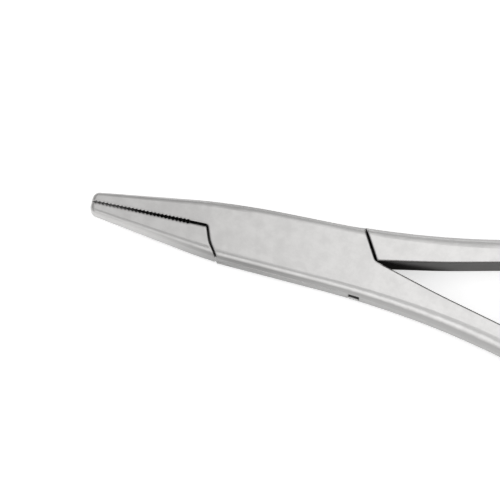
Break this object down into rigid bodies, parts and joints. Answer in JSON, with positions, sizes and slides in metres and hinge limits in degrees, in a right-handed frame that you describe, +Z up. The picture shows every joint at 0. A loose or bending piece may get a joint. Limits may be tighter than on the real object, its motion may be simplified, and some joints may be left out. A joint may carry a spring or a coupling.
{
  "type": "orthodontic elastic placing pliers",
  "caption": "Slim locking hand pliers with serrated jaws, a box joint, bowed handles, leaf springs and a ratchet, for placing elastic ties on orthodontic brackets.",
  "frame": {"origin": "on the pivot axis, in the flat underside of the box that the pliers rest on", "axes": "+X from the pivot toward the handle ends, +Y toward the handle of the tongue half, +Z up through the thickness along the pivot axis"},
  "size_m": [0.1401, 0.0304, 0.0045],
  "materials": {
    "forged_steel": "satin, glass-bead blasted stainless steel",
    "spring_steel": "fine ground spring steel",
    "screw_steel": "turned stainless steel"
  },
  "bodies": {
    "box_half_body": {"box_half": "forged_steel", "pivot_pin": "forged_steel", "fork_spring": "spring_steel", "fork_spring_screw": "screw_steel"},
    "tongue_half_body": {"tongue_half": "forged_steel", "tongue_spring": "spring_steel", "tongue_spring_screw": "screw_steel"}
  },
  "joints": [
    {"name": "jaw_hinge", "type": "hinge", "parent": "box_half_body", "child": "tongue_half_body", "pos_m": [0, 0, 0.00225], "axis": [0, 0, 1], "range_deg": [0, 25], "deforming": ["fork_spring", "tongue_spring"]}
  ]
}
